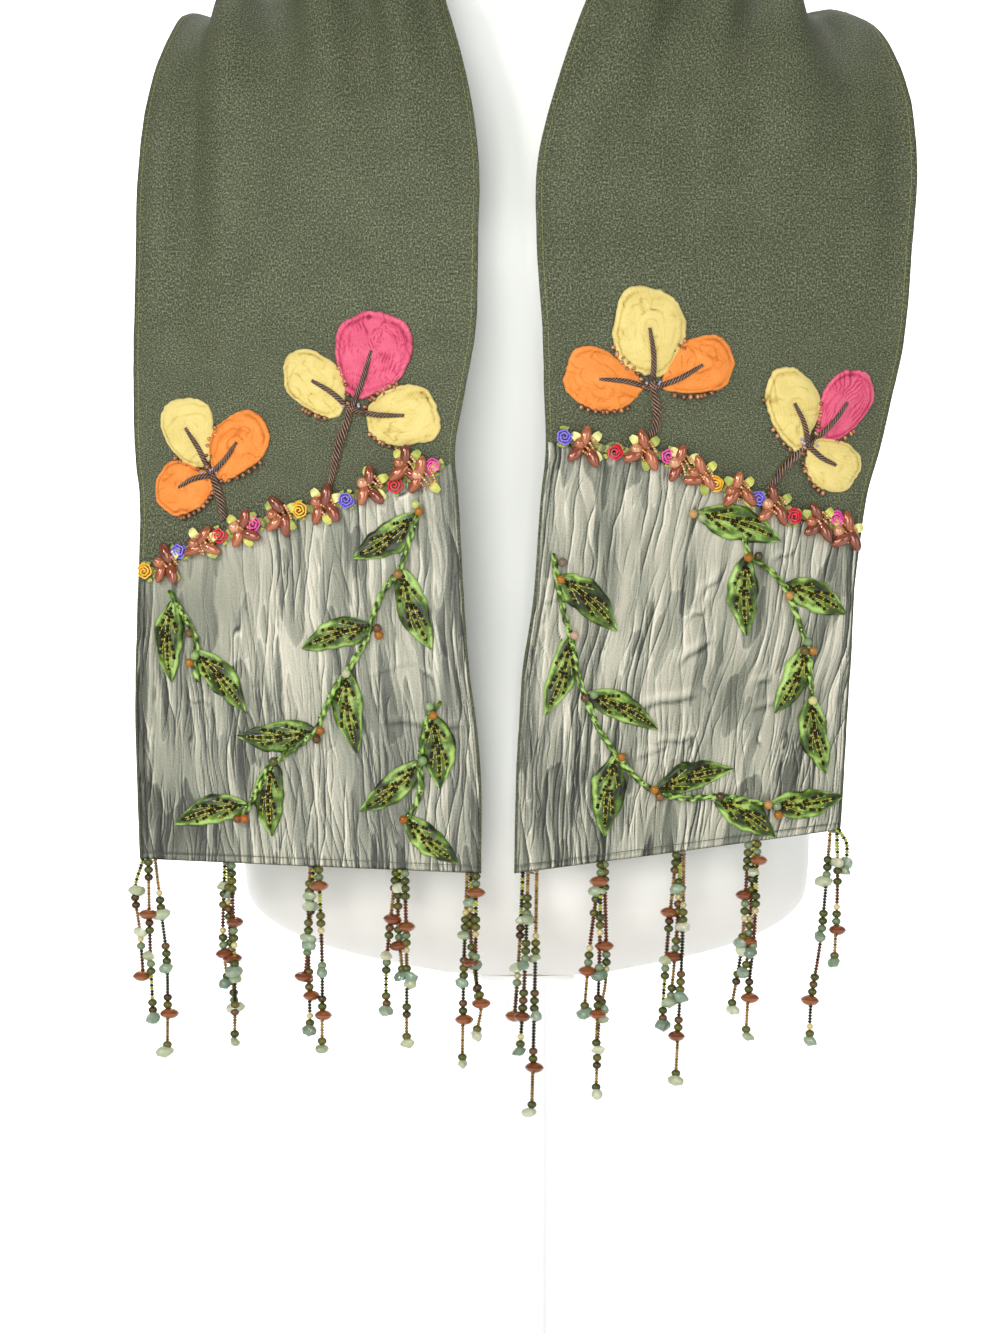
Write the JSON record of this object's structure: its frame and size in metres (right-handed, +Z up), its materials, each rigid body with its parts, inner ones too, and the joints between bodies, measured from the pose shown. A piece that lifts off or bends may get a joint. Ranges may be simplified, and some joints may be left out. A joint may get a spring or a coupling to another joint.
{
  "type": "silk scarf on a torso form",
  "caption": "Silk scarf with crinkled taffeta ends, ribbon flowers, leaf sprays, bead borders and bead fringe, hung round the neck of a limbless torso form on a stand.",
  "frame": {"origin": "middle of the underside of the stand's round base, which rests on the floor", "axes": "+Z up along the stand's pole; the scarf's two ends hang at the front, which faces -Y; +X to the right as seen from the front"},
  "size_m": [0.4608, 0.2957, 0.958],
  "materials": {
    "silk": "sandwashed silk, matt with a soft sheen, olive green",
    "taffeta": "crushed shot taffeta, silver green",
    "ribbon_yellow": "gathered ribbon",
    "ribbon_orange": "gathered ribbon",
    "ribbon_pink": "gathered ribbon",
    "leaf_satin": "shaded satin ribbon with beaded veins",
    "cord": "twisted bronze cord",
    "border_beads": "oval copper pearl beads, seed beads and ribbon roses",
    "fringe_beads": "strung seed beads, pearls and stone chips",
    "form_shell": "smooth white moulded shell",
    "stand_metal": "white powder coat"
  },
  "bodies": {
    "root": {"form_torso": "form_shell", "form_neck_cap": "form_shell", "stand_pole": "stand_metal", "stand_base": "stand_metal", "silk_left_front": "silk", "silk_neck": "silk", "silk_right_front": "silk", "panel_left": "taffeta", "panel_right": "taffeta", "border_left": "border_beads", "border_right": "border_beads", "flower_a_petal_1": "ribbon_yellow", "flower_a_petal_2": "ribbon_orange", "flower_a_petal_3": "ribbon_orange", "flower_a_stem": "cord", "flower_b_petal_1": "ribbon_yellow", "flower_b_petal_2": "ribbon_pink", "flower_b_petal_3": "ribbon_yellow", "flower_b_stem": "cord", "flower_c_petal_1": "ribbon_orange", "flower_c_petal_2": "ribbon_yellow", "flower_c_petal_3": "ribbon_orange", "flower_c_stem": "cord", "flower_d_petal_1": "ribbon_yellow", "flower_d_petal_2": "ribbon_pink", "flower_d_petal_3": "ribbon_yellow", "flower_d_stem": "cord", "leaf_spray_1": "leaf_satin", "leaf_spray_2": "leaf_satin", "leaf_spray_3": "leaf_satin", "leaf_spray_4": "leaf_satin", "leaf_spray_5": "leaf_satin", "tassel_left_1": "fringe_beads", "tassel_left_2": "fringe_beads", "tassel_left_3": "fringe_beads", "tassel_left_4": "fringe_beads", "tassel_left_5": "fringe_beads", "tassel_right_1": "fringe_beads", "tassel_right_2": "fringe_beads", "tassel_right_3": "fringe_beads", "tassel_right_4": "fringe_beads", "tassel_right_5": "fringe_beads"}
  },
  "joints": []
}
